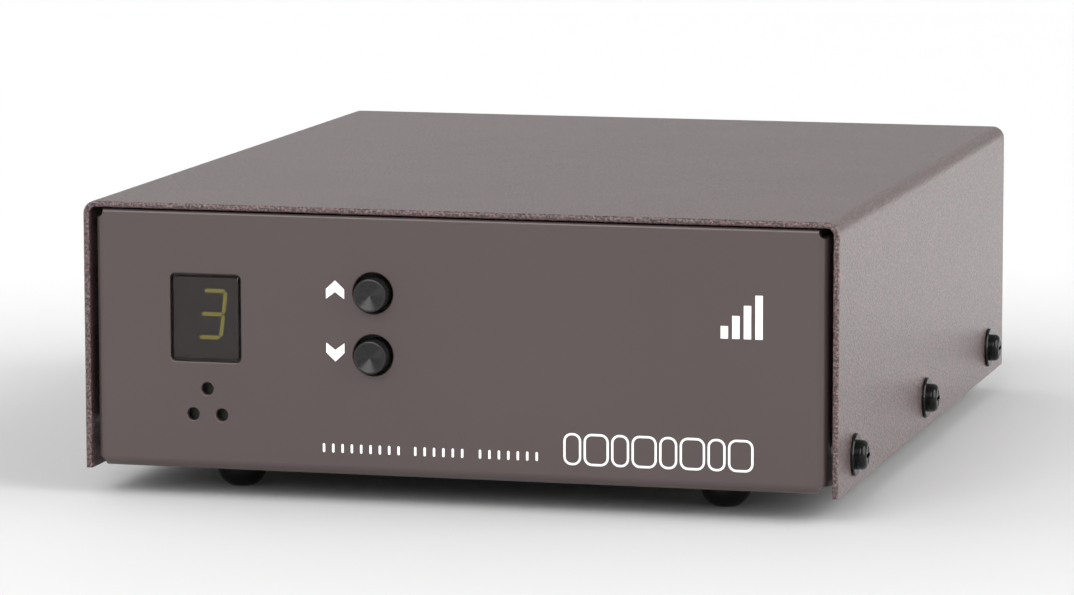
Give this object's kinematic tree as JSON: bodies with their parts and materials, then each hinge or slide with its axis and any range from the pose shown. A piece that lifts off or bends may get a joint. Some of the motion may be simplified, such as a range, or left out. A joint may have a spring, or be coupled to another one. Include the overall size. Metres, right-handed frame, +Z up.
{
  "type": "antenna selector",
  "caption": "Desk-top antenna selector control box: textured sheet cover, satin front panel, digit window, up and down buttons, sound holes, rear sockets and ground terminal.",
  "frame": {"origin": "on the table under the middle of the box", "axes": "+X to the right as seen from the front, +Y from the front panel to the rear panel, +Z up"},
  "size_m": [0.1948, 0.2444, 0.0726],
  "materials": {
    "textured_paint": "fine textured powder coat, brown",
    "satin_paint": "smooth satin paint, brown",
    "black_steel": "black zinc, semi-gloss",
    "zinc_steel": "bright zinc",
    "black_rubber": "hard glossy rubber",
    "smoked_acrylic": "smoked, polished",
    "circuit_board": "green solder mask",
    "nylon": "natural nylon",
    "display_grey": "dark grey face",
    "lit_segment": "glowing yellow-green epoxy",
    "unlit_segment": "grey diffused epoxy",
    "tinned_lead": "tinned",
    "black_plastic": "moulded, fine grain",
    "black_cap": "turned face, glossy side",
    "spring_steel": "drawn wire",
    "grey_ribbon": "ribbed vinyl",
    "aluminium": "extruded",
    "bright_can": "drawn can",
    "blue_sleeve": "shrink sleeve",
    "resistor_film": "lacquered film",
    "ceramic": "dipped ceramic",
    "diode_body": "moulded epoxy",
    "nickel": "nickel plated",
    "gold_contact": "gold flash"
  },
  "bodies": {
    "case": {"cover": "textured_paint", "chassis": "satin_paint", "cover_screws": "black_steel", "cover_washers": "black_steel", "rivet_nuts": "zinc_steel", "front_left_foot": "black_rubber", "front_right_foot": "black_rubber", "rear_left_foot": "black_rubber", "rear_right_foot": "black_rubber", "foot_screws": "zinc_steel", "foot_nuts": "zinc_steel", "display_window": "smoked_acrylic", "display_board": "circuit_board", "board_studs": "zinc_steel", "board_spacers": "nylon", "board_nuts": "zinc_steel", "display_housing": "display_grey", "lit_segments": "lit_segment", "unlit_segments": "unlit_segment", "front_board_pins": "tinned_lead", "sounder": "black_plastic", "up_switch_housing": "black_plastic", "down_switch_housing": "black_plastic", "up_return_spring": "spring_steel", "down_return_spring": "spring_steel", "ribbon_cable": "grey_ribbon", "ribbon_plugs": "black_plastic", "pin_headers": "black_plastic", "main_board": "circuit_board", "standoffs": "zinc_steel", "main_board_screws": "zinc_steel", "microcontroller": "black_plastic", "serial_driver": "black_plastic", "relay_drivers": "black_plastic", "component_leads": "tinned_lead", "voltage_regulator": "black_plastic", "heatsink": "aluminium", "crystal": "bright_can", "electrolytic_capacitors": "blue_sleeve", "resistors": "resistor_film", "ceramic_capacitors": "ceramic", "diodes": "diode_body", "control_socket_shell": "nickel", "control_socket_insulator": "black_plastic", "serial_socket_shell": "nickel", "serial_socket_insulator": "black_plastic", "socket_contacts": "gold_contact", "jackscrews": "nickel", "phono_shells": "nickel", "phono_housings": "black_plastic", "ground_stud": "nickel", "ground_nut": "nickel"},
    "up_cap": {"up_button": "black_cap", "up_plunger": "nylon"},
    "down_cap": {"down_button": "black_cap", "down_plunger": "nylon"},
    "clamp_washer": {"clamp_washer": "nickel"},
    "wing_nut": {"wing_nut": "nickel"}
  },
  "joints": [
    {"name": "up_button_press", "type": "slide", "parent": "case", "child": "up_cap", "axis": [0, 1, 0], "range_m": [0, 0.0012], "stiffness_N_per_m": 900, "deforming": ["up_return_spring"]},
    {"name": "down_button_press", "type": "slide", "parent": "case", "child": "down_cap", "axis": [0, 1, 0], "range_m": [0, 0.0012], "stiffness_N_per_m": 900, "deforming": ["down_return_spring"]},
    {"name": "wing_nut_travel", "type": "slide", "parent": "case", "child": "clamp_washer", "axis": [0, 1, 0], "range_m": [0, 0.0018]},
    {"name": "wing_nut_turn", "type": "hinge", "parent": "clamp_washer", "child": "wing_nut", "pos_m": [0.07, 0.1132, 0.0426], "axis": [0, 1, 0], "range_deg": [0, 811.5]}
  ],
  "couplings": [
    {"joint": "wing_nut_turn", "follows": "wing_nut_travel", "rad_per_m": 7854}
  ]
}
